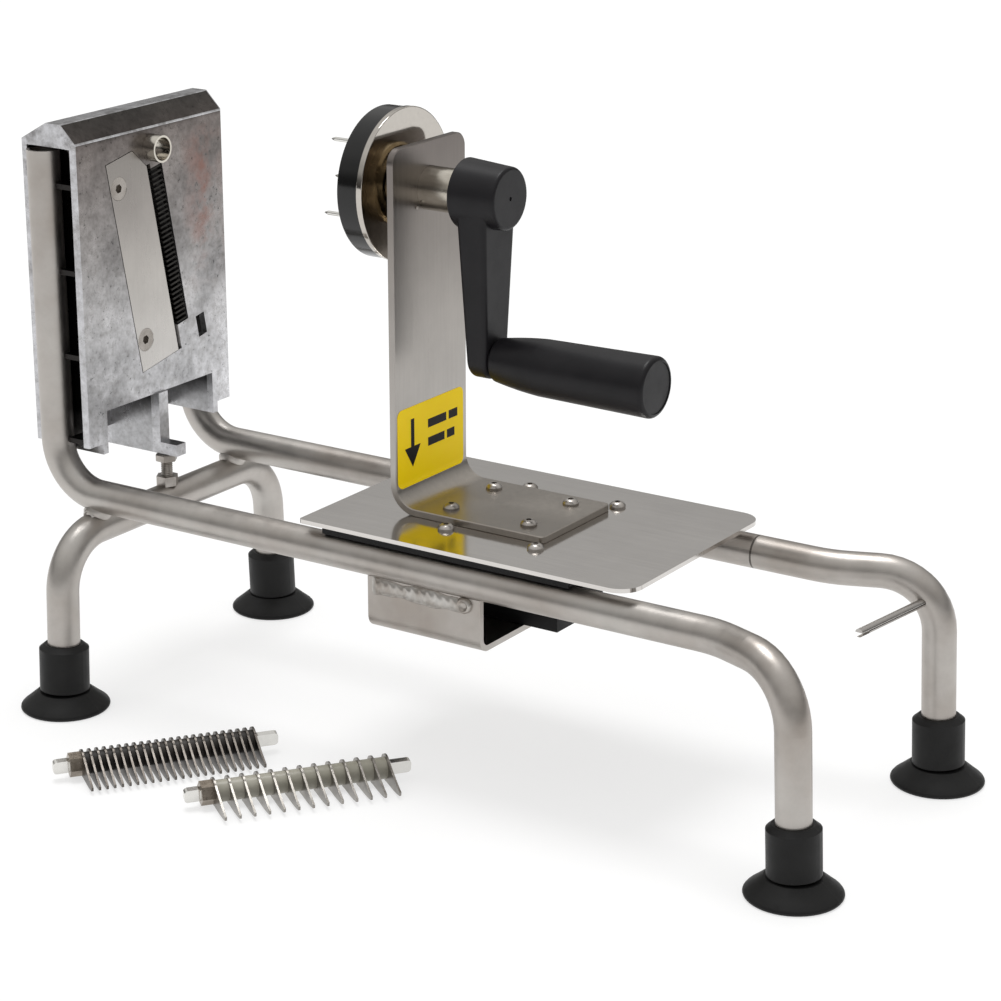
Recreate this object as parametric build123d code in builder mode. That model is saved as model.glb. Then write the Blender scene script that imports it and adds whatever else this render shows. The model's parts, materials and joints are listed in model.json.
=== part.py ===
"""Crank-operated turning vegetable slicer: tube frame, sliding carriage, cast blade head, spare combs.

Frame: +X from the blade head towards the crank, +Y from the near rail to the far rail, +Z up.
The floor is Z = 0, the spindle and blade head are centred on Y = 0 and the posts stand at X = 0.
All sizes are in millimetres.
"""
import os
from math import atan2, cos, degrees, radians, sin, tan

from build123d import *

os.makedirs("parts", exist_ok=True)

# ---------------------------------------------------------------- driving dimensions
TUBE_R = 8.0            # frame tube, 16 mm outside
TUBE_WALL = 1.5
RAIL_Y = 53.0           # rail centres at +-RAIL_Y
RAIL_Z = 101.0
POST_TOP_Z = 271.0
POST_BEND_R = 26.0
JOG_X = 373.0           # rail starts to swing outwards here
LEG_X, LEG_Y = 419.0, 71.0
LEG_FOOT_X = 423.6      # front legs lean out along X
LEG_BEND_R = 28.0
HOOP_X = 24.0           # cross tube under the rails
HOOP_Z = RAIL_Z - 2 * TUBE_R
HOOP_LEG_Y = 80.5
HOOP_FOOT_Y = 83.5
HOOP_BEND_R = 27.0
TUBE_END_Z = 13.0

SLEEVE_R, SLEEVE_Z0, SLEEVE_Z1 = 12.2, 9.8, 30.8
CUP_R = 21.9

KEEPER_X0, KEEPER_X1 = 190.0, 252.5
KEEPER_Y = 56.0         # outer faces of its flanges
KEEPER_T = 2.8
KEEPER_Z0 = 67.5

HEAD_HALF = 55.0        # half width of the casting
HEAD_FRONT, HEAD_BACK = 22.0, -12.0
HEAD_Z0, HEAD_Z1, HEAD_RIDGE_Z = 125.0, 275.0, 284.0
WALL = 3.7
WEB_IN, WEB_OUT = 41.0, 44.6
CAP_Z = 272.6           # underside of the cap, over the posts
CUT_Z = 141.0           # lower edge of the front wall between the webs
WEB_Z0 = 119.5
LUG_Z0, LUG_Z1, LUG_X = 109.5, 115.5, 34.0
BLADE_TILT = 11.0       # blade and slot lean in the plane of the front wall
BLADE_T = 3.0
BLADE_GAP = 0.3         # groove left round the blade in its pocket
SLOT_E0, SLOT_E1 = 7.5, 16.3     # slot edges across the blade
SLOT_D0, SLOT_D1 = -40.0, 44.0   # slot ends along the blade, + is up
BLADE_Z = 210.0         # centre the blade coordinates are taken from

SPINDLE_Z = 265.0
SHAFT_R = 6.0
DISC_X0, DISC_X1, DISC_X2 = 160.5, 171.8, 174.8
DISC_R, BACK_R = 35.3, 35.85
PRONG_TIP_X, PRONG_R = 142.5, 1.0
SLEEVE_END_X = 208.0

PLATE_X0, PLATE_X1, PLATE_HALF = 154.3, 333.5, 61.0
PLATE_Z0, PLATE_Z1 = 113.7, 115.7
BLOCK_X0, BLOCK_X1 = 165.0, 300.0
RUNNER_X1, RUNNER_HALF = 271.0, 20.0
BRACKET_X, BRACKET_T = 187.7, 3.5
BRACKET_HALF, BRACKET_TOP, BRACKET_END = 29.2, 286.8, 269.0
BEND_R = 14.0
LABEL_T = 0.15

CRANK_R = 76.0          # spindle axis to grip axis
HUB_X0, HUB_X1 = 208.3, 232.0
ARM_X0, ARM_X1 = 210.4, 226.6
GRIP_Z = SPINDLE_Z - CRANK_R
GRIP_X0, GRIP_X1 = 225.4, 310.0
AXLE_R = 4.0

RUN = 0.05              # radial clearance of a running fit

# The pieces are drawn around the posts and moved here as they are written, so that the
# written frame starts at the middle of the whole set's footprint.
ORIGIN = Vector(216.53, -26.33, 0)


def save(part, name):
    """Label a finished part and write it to its own STEP file."""
    written = part.moved(Location(-ORIGIN))
    written.label = name
    export_step(written, f"parts/{name}.step")


def tube(points, bends, r_out=TUBE_R, r_in=TUBE_R - TUBE_WALL):
    """Bent round tube along a filleted line."""
    with BuildPart() as bent:
        with BuildLine() as path:
            FilletPolyline(*points, radius=bends)
        with BuildSketch(Plane(path.line @ 0, z_dir=path.line % 0)):
            Circle(r_out)
            Circle(r_in, mode=Mode.SUBTRACT)
        sweep()
    return bent.part


def rod(p0, p1, r):
    """Plain cylinder between two points."""
    a, b = Vector(*p0), Vector(*p1)
    with BuildPart() as bar:
        with BuildSketch(Plane(a, z_dir=b - a)):
            Circle(r)
        extrude(amount=(b - a).length)
    return bar.part


# ---------------------------------------------------------------- frame tubes
def side_points(side):
    return [
        (0, side * RAIL_Y, POST_TOP_Z),
        (0, side * RAIL_Y, RAIL_Z),
        (JOG_X, side * RAIL_Y, RAIL_Z),
        (LEG_X, side * LEG_Y, RAIL_Z),
        (LEG_X + (LEG_FOOT_X - LEG_X) * (RAIL_Z - TUBE_END_Z) / RAIL_Z, side * LEG_Y, TUBE_END_Z),
    ]


side_bends = [POST_BEND_R, 45.0, LEG_BEND_R]
side_tubes = {side: tube(side_points(side), side_bends) for side in (-1, 1)}

# split pin: two flat-sided legs pushed into a hole in the far front leg, to stop the carriage
PIN_TILT = 7.5          # degrees away from -Y, towards the blade head
PIN_AT = Vector(416.4, 71.0, 89.5)
PIN_LEG = (60.0, 54.0)  # leg lengths inwards from PIN_AT
PIN_R = 2.0
PIN_GAP = 0.5           # between the legs
pin_dir = Vector(-sin(radians(PIN_TILT)), -cos(radians(PIN_TILT)), 0)
pin_hole = rod(tuple(PIN_AT + pin_dir * 2), tuple(PIN_AT + pin_dir * 30), PIN_R + RUN)

with BuildPart() as side_tube_near:
    add(side_tubes[-1])
save(side_tube_near.part, "side_tube_near")

with BuildPart() as side_tube_far:
    add(side_tubes[1])
    add(pin_hole, mode=Mode.SUBTRACT)
save(side_tube_far.part, "side_tube_far")

with BuildPart() as split_pin:
    for half, reach in ((1, PIN_LEG[0]), (-1, PIN_LEG[1])):
        with BuildSketch(Plane(PIN_AT, x_dir=(0, 0, 1), z_dir=pin_dir)):
            Circle(PIN_R)
            with Locations((half * (PIN_GAP - PIN_R) / 2, 0)):
                Rectangle(PIN_R, 2 * PIN_R, mode=Mode.SUBTRACT)
        extrude(amount=reach)
    with BuildSketch(Plane(PIN_AT, x_dir=(0, 0, 1), z_dir=pin_dir)):
        Circle(PIN_R)
    extrude(amount=-2.0)
save(split_pin.part, "split_pin")

hoop_points = [
    (HOOP_X, -HOOP_FOOT_Y, TUBE_END_Z),
    (HOOP_X, -HOOP_LEG_Y, HOOP_Z),
    (HOOP_X, HOOP_LEG_Y, HOOP_Z),
    (HOOP_X, HOOP_FOOT_Y, TUBE_END_Z),
]
ADJ_R = 3.0             # M6 adjusting screw
NUT_Z0, NUT_Z1 = 92.4, 97.4
with BuildPart() as rear_hoop:
    add(tube(hoop_points, HOOP_BEND_R))
    with Locations((HOOP_X, 0, HOOP_Z + TUBE_R / 2)):
        Cylinder(ADJ_R + RUN, TUBE_R, mode=Mode.SUBTRACT)
save(rear_hoop.part, "rear_hoop")

with BuildPart() as hoop_welds:
    # a saddle bead on each side of both crossings
    for side in (-1, 1):
        with Locations((HOOP_X, side * RAIL_Y, HOOP_Z + TUBE_R)):
            Sphere(7.2)
    add(side_tubes[-1], mode=Mode.SUBTRACT)
    add(side_tubes[1], mode=Mode.SUBTRACT)
    add(tube(hoop_points, HOOP_BEND_R), mode=Mode.SUBTRACT)
    for side in (-1, 1):
        add(rod((0, side * RAIL_Y, RAIL_Z), (60, side * RAIL_Y, RAIL_Z), TUBE_R), mode=Mode.SUBTRACT)
        add(rod((HOOP_X, side * 30, HOOP_Z), (HOOP_X, side * 70, HOOP_Z), TUBE_R), mode=Mode.SUBTRACT)
save(hoop_welds.part, "hoop_welds")

with BuildPart() as adjuster_nut:
    with BuildSketch(Plane((HOOP_X, 0, NUT_Z0))):
        RegularPolygon(5.0, 6, major_radius=False)
        Circle(ADJ_R + RUN, mode=Mode.SUBTRACT)
    extrude(amount=NUT_Z1 - NUT_Z0)
    add(rod((HOOP_X, -20, HOOP_Z), (HOOP_X, 20, HOOP_Z), TUBE_R), mode=Mode.SUBTRACT)
save(adjuster_nut.part, "adjuster_nut")

with BuildPart() as adjuster_screw:
    with BuildSketch(Plane((HOOP_X, 0, LUG_Z0 - 4.3))):
        RegularPolygon(5.0, 6, major_radius=False)
    extrude(amount=4.0)
    chamfer(adjuster_screw.faces().sort_by(Axis.Z)[-1].edges(), 0.5)
    with Locations((HOOP_X, 0, LUG_Z0 - 4.3 - 12.5)):
        Cylinder(ADJ_R, 25.0)
save(adjuster_screw.part, "adjuster_screw")

# ---------------------------------------------------------------- keeper under the rails
with BuildPart() as keeper:
    with BuildSketch(Plane.YZ.offset(KEEPER_X0)):
        with Locations((0, (KEEPER_Z0 + RAIL_Z) / 2)):
            RectangleRounded(2 * KEEPER_Y, RAIL_Z - KEEPER_Z0, 6.5)
            Rectangle(2 * KEEPER_Y, 0.01)
        with Locations((0, (KEEPER_Z0 + KEEPER_T + RAIL_Z + 10) / 2)):
            RectangleRounded(2 * (KEEPER_Y - KEEPER_T), RAIL_Z + 10 - KEEPER_Z0 - KEEPER_T, 3.7,
                             mode=Mode.SUBTRACT)
        with Locations((0, 110)):
            Rectangle(140, 2 * (110 - 93.4), mode=Mode.SUBTRACT)
    extrude(amount=KEEPER_X1 - KEEPER_X0)
    for side in (-1, 1):
        add(rod((KEEPER_X0 - 5, side * RAIL_Y, RAIL_Z), (KEEPER_X1 + 5, side * RAIL_Y, RAIL_Z), TUBE_R),
            mode=Mode.SUBTRACT)
save(keeper.part, "keeper")

with BuildPart() as keeper_welds:
    # one bead along each flange, ending in a round crater
    for side in (-1, 1):
        bead_y, bead_z = side * (KEEPER_Y + 0.6), 92.2
        add(rod((KEEPER_X0 + 2, bead_y, bead_z), (KEEPER_X1 - 6, bead_y, bead_z), 2.6))
        with Locations((KEEPER_X1 - 6, bead_y, bead_z)):
            Sphere(3.2)
        with Locations((KEEPER_X0 + 2, bead_y, bead_z)):
            Sphere(2.6)
    for side in (-1, 1):
        add(rod((KEEPER_X0 - 9, side * RAIL_Y, RAIL_Z), (KEEPER_X1 + 9, side * RAIL_Y, RAIL_Z), TUBE_R),
            mode=Mode.SUBTRACT)
    with Locations(((KEEPER_X0 + KEEPER_X1) / 2, 0, 85)):
        Box(KEEPER_X1 - KEEPER_X0 + 20, 2 * KEEPER_Y, 40, mode=Mode.SUBTRACT)
save(keeper_welds.part, "keeper_welds")

# ---------------------------------------------------------------- feet
leg_lean = degrees(atan2(LEG_FOOT_X - LEG_X, RAIL_Z))
hoop_lean = degrees(atan2(HOOP_FOOT_Y - HOOP_LEG_Y, HOOP_Z - TUBE_END_Z))
foot_x = LEG_X + (LEG_FOOT_X - LEG_X) * (RAIL_Z - SLEEVE_Z0) / RAIL_Z
foot_y = HOOP_FOOT_Y + (TUBE_END_Z - SLEEVE_Z0) * tan(radians(hoop_lean))
feet = [
    ((HOOP_X, -foot_y), (0, sin(radians(hoop_lean)), cos(radians(hoop_lean)))),
    ((HOOP_X, foot_y), (0, -sin(radians(hoop_lean)), cos(radians(hoop_lean)))),
    ((foot_x, -LEG_Y), (-sin(radians(leg_lean)), 0, cos(radians(leg_lean)))),
    ((foot_x, LEG_Y), (-sin(radians(leg_lean)), 0, cos(radians(leg_lean)))),
]

with BuildPart() as foot_sleeves:
    for (fx, fy), lean in feet:
        foot_plane = Plane((fx, fy, SLEEVE_Z0), x_dir=(cos(radians(leg_lean)), 0, sin(radians(leg_lean)))
                           if fx > 100 else (1, 0, 0), z_dir=lean)
        with BuildSketch(foot_plane):
            Circle(SLEEVE_R)
            Circle(6.7, mode=Mode.SUBTRACT)
        extrude(amount=3.0)
        with BuildSketch(foot_plane.offset(3.0)):
            Circle(SLEEVE_R)
            Circle(TUBE_R + RUN, mode=Mode.SUBTRACT)
        extrude(amount=SLEEVE_Z1 - SLEEVE_Z0 - 3.0)
        with BuildSketch(foot_plane.offset(SLEEVE_Z1 - SLEEVE_Z0)):
            Circle(SLEEVE_R)
        with BuildSketch(foot_plane.offset(SLEEVE_Z1 - SLEEVE_Z0 + 2.2)):
            Circle(SLEEVE_R - 2.6)
        loft()
        with BuildSketch(foot_plane.offset(SLEEVE_Z1 - SLEEVE_Z0)):
            Circle(TUBE_R + RUN)
        extrude(amount=4.0, mode=Mode.SUBTRACT)
save(foot_sleeves.part, "foot_sleeves")

with BuildPart() as cup:
    with BuildSketch(Plane.XZ):
        with BuildLine():
            Polyline((0, 4.5), (5.0, 4.4), (12.0, 3.2), (19.6, 0.0), (21.3, 0.0))
            Spline((21.3, 0.0), (CUP_R, 0.9), (19.6, 3.6), (16.2, 6.4), (13.2, 8.9))
            Polyline((13.2, 8.9), (6.0, 8.9), (6.0, 12.4), (0, 12.4), (0, 4.5))
        make_face()
    revolve(axis=Axis.Z)
with BuildPart() as suction_cups:
    for (fx, fy), lean in feet:
        with Locations((fx, fy, 0)):
            add(cup.part)
save(suction_cups.part, "suction_cups")

# ---------------------------------------------------------------- blade head
tilt = radians(BLADE_TILT)


def face_point(e, d):
    """(y, z) of a point e across and d up along the tilted blade."""
    return (e * cos(tilt) - d * sin(tilt), BLADE_Z + e * sin(tilt) + d * cos(tilt))


def face_plane(x):
    """Plane of the front wall at x, its axes across and up along the tilted blade."""
    return Plane((x, 0, BLADE_Z), x_dir=(0, cos(tilt), sin(tilt)), z_dir=(1, 0, 0))


blade_outline = [(-23.2, 57.2), (-3.4, 57.2), (4.8, 46.4), (SLOT_E0 - 0.1, 46.4), (SLOT_E0 - 0.1, -52.5),
                 (-23.2, -52.5)]
blade_screw_at = [(-17.1, 43.0), (-17.1, -37.3)]
comb_e = (SLOT_E0 + SLOT_E1) / 2
comb_d = (SLOT_D0 + SLOT_D1) / 2
COMB_X = -1.0           # comb shaft axis behind the front wall
TAB = 6.6               # width of the flat tabs at the ends of a comb's shaft

with BuildPart() as head_casting:
    # outer block with a ridge along its top
    with BuildSketch(Plane.XZ.offset(-HEAD_HALF)):
        Polygon((HEAD_BACK, HEAD_Z0), (HEAD_FRONT, HEAD_Z0), (HEAD_FRONT, HEAD_Z1), (13, HEAD_RIDGE_Z),
                (4, HEAD_RIDGE_Z), (HEAD_BACK, HEAD_Z1), align=None)
    extrude(amount=2 * HEAD_HALF)
    # side channels for the posts and the hollow behind the front wall
    inner_x0, inner_x1 = HEAD_BACK + WALL - 0.1, HEAD_FRONT - WALL
    for side in (-1, 1):
        with BuildSketch(Plane.XZ.offset(-side * WEB_OUT)):
            with Locations(((inner_x0 + inner_x1) / 2, (CAP_Z + 100) / 2)):
                RectangleRounded(inner_x1 - inner_x0, CAP_Z - 100, 3.0)
        extrude(amount=-side * 20, mode=Mode.SUBTRACT)
    with Locations(((inner_x0 + inner_x1) / 2, 0, (CAP_Z + 100) / 2)):
        Box(inner_x1 - inner_x0, 2 * WEB_IN, CAP_Z - 100, mode=Mode.SUBTRACT)
    # window in the back wall, where the slices leave
    with BuildSketch(Plane.YZ.offset(HEAD_BACK - 1)):
        with Locations((0, (152 + 271) / 2)):
            RectangleRounded(74, 271 - 152, 6.0)
    extrude(amount=WALL + 2, mode=Mode.SUBTRACT)
    # front wall is cut back between the webs; webs and back wall reach lower
    with Locations(((HEAD_FRONT + inner_x1) / 2, 0, (CUT_Z + 110) / 2)):
        Box(WALL + 0.5, 2 * WEB_IN, CUT_Z - 110, mode=Mode.SUBTRACT)
    for side in (-1, 1):
        with Locations((5, side * (WEB_IN + WEB_OUT) / 2, (WEB_Z0 + HEAD_Z0 + 1) / 2)):
            Box(HEAD_FRONT - HEAD_BACK, WEB_OUT - WEB_IN, HEAD_Z0 + 1 - WEB_Z0)
    with Locations((HEAD_BACK + (WALL - 0.1) / 2, 0, (WEB_Z0 + HEAD_Z0 + 1) / 2)):
        Box(WALL - 0.1, 2 * WEB_OUT, HEAD_Z0 + 1 - WEB_Z0)
    # central rib and the lug that stands on the adjusting screw
    with Locations(((HEAD_BACK + 23.6) / 2, 0, (LUG_Z0 + CUT_Z) / 2)):
        Box(23.6 - HEAD_BACK, 7.0, CUT_Z - LUG_Z0)
    with Locations(((HEAD_BACK + 20) / 2, 0, 148)):
        Box(20 - HEAD_BACK, 7.0, 14.2)
    with BuildSketch(Plane.XZ.offset(-3.5)):
        with Locations(((18 + LUG_X) / 2, (LUG_Z0 + LUG_Z1) / 2)):
            Rectangle(LUG_X - 18, LUG_Z1 - LUG_Z0)
    extrude(amount=7.0)
    # short ribs that bear on the posts
    for z in (254.0, 212.0, 170.0, 127.4):
        for side in (-1, 1):
            with Locations(((8.4 + 18.8) / 2, side * (WEB_OUT - 0.4 + 54.4) / 2, z)):
                Box(18.8 - 8.4, 54.4 - WEB_OUT + 0.4, 2.5)
    # pad behind the blade, and two open bearings for the comb
    with BuildSketch(face_plane(12.5)):
        with Locations(((-25.6 + 3.6) / 2, 2.3)):
            RectangleRounded(3.6 + 25.6, 113.0, 3.0)
    extrude(amount=inner_x1 - 12.5 + 0.2)
    for d in (comb_d + 49.0, comb_d - 51.4):
        with BuildSketch(face_plane(COMB_X - 2.6)):
            with Locations((comb_e, d)):
                Rectangle(12.0, 5.4)
        extrude(amount=inner_x1 - COMB_X + 2.8)
        with BuildSketch(face_plane(COMB_X - 3.0)):
            with Locations((comb_e, d)):
                Rectangle(7.0, 7.0)
        extrude(amount=3.0 + TAB / 2 + 0.3, mode=Mode.SUBTRACT)
    # slot, blade pocket, screw holes, comb window and the coring tube's hole
    with BuildSketch(face_plane(0)):
        with Locations((comb_e, comb_d)):
            Rectangle(SLOT_E1 - SLOT_E0, SLOT_D1 - SLOT_D0)
    extrude(amount=30, mode=Mode.SUBTRACT)
    with BuildSketch(face_plane(HEAD_FRONT - BLADE_T)):
        Polygon(*blade_outline, align=None)
        offset(amount=BLADE_GAP, kind=Kind.INTERSECTION)
    extrude(amount=10, mode=Mode.SUBTRACT)
    with BuildSketch(face_plane(0)):
        with Locations(*blade_screw_at):
            Circle(3.02)
    extrude(amount=30, mode=Mode.SUBTRACT)
    with BuildSketch(face_plane(HEAD_FRONT - WALL - 1)):
        with Locations((25.2, -47.3)):
            Rectangle(6.6, 11.4)
    extrude(amount=10, mode=Mode.SUBTRACT)
    with Locations(Plane((10, 0, SPINDLE_Z), z_dir=(1, 0, 0))):
        Cylinder(6.75, 40, mode=Mode.SUBTRACT)
    # soften the outer upright corners
    chamfer(head_casting.edges().filter_by(Axis.Z).filter_by(
        lambda e: abs(abs(e.center().Y) - HEAD_HALF) < 0.01 and e.length > 100
        and (e.center().X > 21 or e.center().X < -11)), 0.5)

# One casting, written as plain slabs that meet face to face so that each can be given a
# close collision shape. Each cut is (name, low corner, high corner) of what it takes off.
FAR = 200.0             # beyond the casting on every side
head_cuts = [
    ("head_cap", (-FAR, -FAR, CAP_Z), (FAR, FAR, 2 * FAR)),
    ("head_back_wall", (-FAR, -FAR, 0), (inner_x0, FAR, CAP_Z)),
    ("head_rib", (inner_x0, -3.6, 0), (inner_x1, 3.6, 153.5)),
    ("head_lug", (inner_x1, -3.6, 0), (FAR, 3.6, CUT_Z)),
    ("head_front_wall", (inner_x1, -FAR, 0), (FAR, FAR, CAP_Z)),
    ("head_pads", (inner_x0, -WEB_IN, 0), (inner_x1, WEB_IN, CAP_Z)),
    ("head_webs", (inner_x0, -FAR, 0), (inner_x1, FAR, CAP_Z)),
]
rest = head_casting.part
for name, low, high in head_cuts:
    with BuildPart() as cutter:
        with Locations((Vector(*low) + Vector(*high)) / 2):
            Box(*[b - a for a, b in zip(low, high)])
    with BuildPart() as slab:
        add(rest)
        add(cutter.part, mode=Mode.INTERSECT)
    save(slab.part, name)
    if name != head_cuts[-1][0]:
        with BuildPart() as left:
            add(rest)
            add(cutter.part, mode=Mode.SUBTRACT)
        rest = left.part

with BuildPart() as slicing_blade:
    with BuildSketch(face_plane(HEAD_FRONT - BLADE_T)):
        Polygon(*blade_outline, align=None)
    extrude(amount=BLADE_T + 0.15)
    # ground cutting bevel beside the slot
    with BuildSketch(Plane((0, 0, BLADE_Z), x_dir=(1, 0, 0), z_dir=(0, -sin(tilt), cos(tilt))).offset(-60)):
        edge = SLOT_E0 - 0.1
        Polygon((HEAD_FRONT + 0.2, edge - 2.5), (HEAD_FRONT + 0.2, edge + 1),
                (HEAD_FRONT - 1.9, edge + 1), (HEAD_FRONT - 1.9, edge), align=None)
    extrude(amount=120, mode=Mode.SUBTRACT)
    with BuildSketch(face_plane(HEAD_FRONT - BLADE_T - 1)):
        with Locations(*blade_screw_at):
            Circle(3.3)
    extrude(amount=10, mode=Mode.SUBTRACT)
    for e, d in blade_screw_at:
        with BuildSketch(face_plane(HEAD_FRONT + 0.15)):
            with Locations((e, d)):
                Circle(5.9)
        extrude(amount=-2.9, taper=42, mode=Mode.SUBTRACT)
    with Locations(Plane((10, 0, SPINDLE_Z), z_dir=(1, 0, 0))):
        Cylinder(6.9, 40, mode=Mode.SUBTRACT)
save(slicing_blade.part, "slicing_blade")

with BuildPart() as blade_screws:
    for e, d in blade_screw_at:
        with BuildSketch(face_plane(HEAD_FRONT)):
            with Locations((e, d)):
                Circle(5.7)
        extrude(amount=-2.8, taper=42)
        with BuildSketch(face_plane(13.0)):
            with Locations((e, d)):
                Circle(3.0)
        extrude(amount=7.5)
        with BuildSketch(face_plane(HEAD_FRONT + 0.1)):
            with Locations((e, d)):
                RegularPolygon(2.0, 6, major_radius=False)
        extrude(amount=-2.3, mode=Mode.SUBTRACT)
save(blade_screws.part, "blade_screws")

with BuildPart() as coring_tube:
    with BuildSketch(Plane.YZ.offset(15.0)):
        with Locations((0, SPINDLE_Z)):
            Circle(6.7)
            Circle(5.7, mode=Mode.SUBTRACT)
    extrude(amount=29.5 - 15.0)
save(coring_tube.part, "coring_tube")

# ---------------------------------------------------------------- combs
COMB_RING_R = 6.6
COMB_REACH = 22.6       # shaft axis to tooth tips
COMB_SPACER_R = 5.2
COMB_SPAN = 82.0        # first to last tooth
TOOTH_T = 1.0


def comb(name, teeth, place, upper, lower):
    """Write one comb: a shaft with end tabs, claw teeth, spacers and a hexagonal end nut.

    Local axes: Z along the shaft, +X towards the tooth tips. The tooth runs from the ring
    along the points of upper to its tip and back along those of lower.
    """
    pitch = COMB_SPAN / (teeth - 1)
    z0 = -COMB_SPAN / 2
    with BuildPart() as shaft:
        # round between the end nut and the last tooth, flattened into tabs beyond them
        with BuildSketch(Plane.XY.offset(z0 - 6.5)):
            Circle(3.0)
        extrude(amount=COMB_SPAN + 7.5)
        for z, length in ((z0 - 10.0, 8.0), (-z0 + 6.0, 11.6)):
            with BuildSketch(Plane.YZ.offset(-1.5)):
                with Locations((0, z)):
                    RectangleRounded(TAB, length, 1.8)
            extrude(amount=3.0)
    with BuildPart() as claws:
        for i in range(teeth):
            with BuildSketch(Plane.XY.offset(z0 + i * pitch - TOOTH_T / 2)):
                Circle(COMB_RING_R)
                with BuildLine():
                    Spline((0.0, COMB_RING_R), *upper)
                    Line(upper[-1], lower[-1])
                    Spline((0.0, -COMB_RING_R), *lower)
                    Line((0.0, -COMB_RING_R), (0.0, COMB_RING_R))
                make_face()
                Circle(3.0 + RUN, mode=Mode.SUBTRACT)
            extrude(amount=TOOTH_T)
    with BuildPart() as spacers:
        for i in range(teeth - 1):
            with BuildSketch(Plane.XY.offset(z0 + i * pitch + TOOTH_T / 2)):
                Circle(COMB_SPACER_R)
                Circle(3.0 + RUN, mode=Mode.SUBTRACT)
            extrude(amount=pitch - TOOTH_T)
    with BuildPart() as nut:
        with BuildSketch(Plane.XY.offset(z0 - TOOTH_T / 2)):
            RegularPolygon(5.0, 6, major_radius=False)
            Circle(3.0 + RUN, mode=Mode.SUBTRACT)
        extrude(amount=-6.0)
    for piece, what in ((shaft, "shaft"), (claws, "teeth"), (spacers, "spacers"), (nut, "nut")):
        with BuildPart() as placed:
            add(place * piece.part)
        save(placed.part, f"{name}_{what}")


# in the head: shaft parallel to the slot, tooth tips level with the front wall
comb_y, comb_z = face_point(comb_e, comb_d)
head_place = Plane((COMB_X, comb_y, comb_z), x_dir=(1, 0, 0), z_dir=(0, -sin(tilt), cos(tilt))).location
broad = [(9.0, 5.0), (17.0, 3.9), (COMB_REACH, 3.8)]
comb("fitted_comb", 33, head_place, broad, [(x, -y) for x, y in broad])

# on the floor: lying on ring and tooth tips, tips towards the near side
comb_turn = (0.606, 0.795, 0)
TIP_UP, TIP_DOWN = 0.2, -1.7     # blunt end of a claw tooth
tip_drop = degrees(atan2(COMB_RING_R + TIP_DOWN, COMB_REACH))
claw = ([(7.0, 4.9), (14.0, 3.1), (COMB_REACH, TIP_UP)], [(6.0, -5.0), (14.0, -3.1), (COMB_REACH, TIP_DOWN)])


def floor_place(x, y):
    along = Vector(*comb_turn)
    out = Vector(along.Y, -along.X, 0)
    tips = out * cos(radians(tip_drop)) + Vector(0, 0, -1) * sin(radians(tip_drop))
    return Plane((x, y, COMB_RING_R), x_dir=tips, z_dir=along).location


comb("fine_comb", 24, floor_place(113.2, -111.6), *claw)
comb("coarse_comb", 13, floor_place(184.4, -102.9), *claw)

# ---------------------------------------------------------------- carriage
foot_screw_at = [(211.0, -18.0), (211.0, 18.0), (254.0, -18.0), (254.0, 18.0)]
plate_screw_at = [(220.0, -35.5), (220.0, 35.5), (269.0, -35.5), (269.0, 35.5)]
SCREW_R = 2.0

with BuildPart() as slide_block:
    mid = (BLOCK_X0 + BLOCK_X1) / 2
    with Locations((mid, 0, (RAIL_Z + TUBE_R + 0.3 + PLATE_Z0) / 2)):
        Box(BLOCK_X1 - BLOCK_X0, 114.0, PLATE_Z0 - RAIL_Z - TUBE_R - 0.3)
    for side in (-1, 1):
        with Locations((mid, side * (36.0 + RAIL_Y - TUBE_R - 0.3) / 2, 104)):
            Box(BLOCK_X1 - BLOCK_X0, RAIL_Y - TUBE_R - 0.3 - 36.0, 12.0)
    with Locations(((BLOCK_X0 + RUNNER_X1) / 2, 0, (KEEPER_Z0 + KEEPER_T + 0.3 + 110) / 2)):
        Box(RUNNER_X1 - BLOCK_X0, 2 * RUNNER_HALF, 110 - KEEPER_Z0 - KEEPER_T - 0.3)
    with Locations(*[(x, y, PLATE_Z0) for x, y in foot_screw_at + plate_screw_at]):
        Cylinder(SCREW_R, 20.0, mode=Mode.SUBTRACT)
save(slide_block.part, "slide_block")

with BuildPart() as carriage_plate:
    with BuildSketch(Plane.XY.offset(PLATE_Z0)):
        with Locations(((PLATE_X0 + PLATE_X1) / 2, 0)):
            Rectangle(PLATE_X1 - PLATE_X0, 2 * PLATE_HALF)
        fillet(vertices().sort_by(Axis.X)[:2], 2.0)
        fillet(vertices().sort_by(Axis.X)[-2:], 11.0)
        with Locations(*(foot_screw_at + plate_screw_at)):
            Circle(SCREW_R + 0.1, mode=Mode.SUBTRACT)
    extrude(amount=PLATE_Z1 - PLATE_Z0)
save(carriage_plate.part, "carriage_plate")

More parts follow.
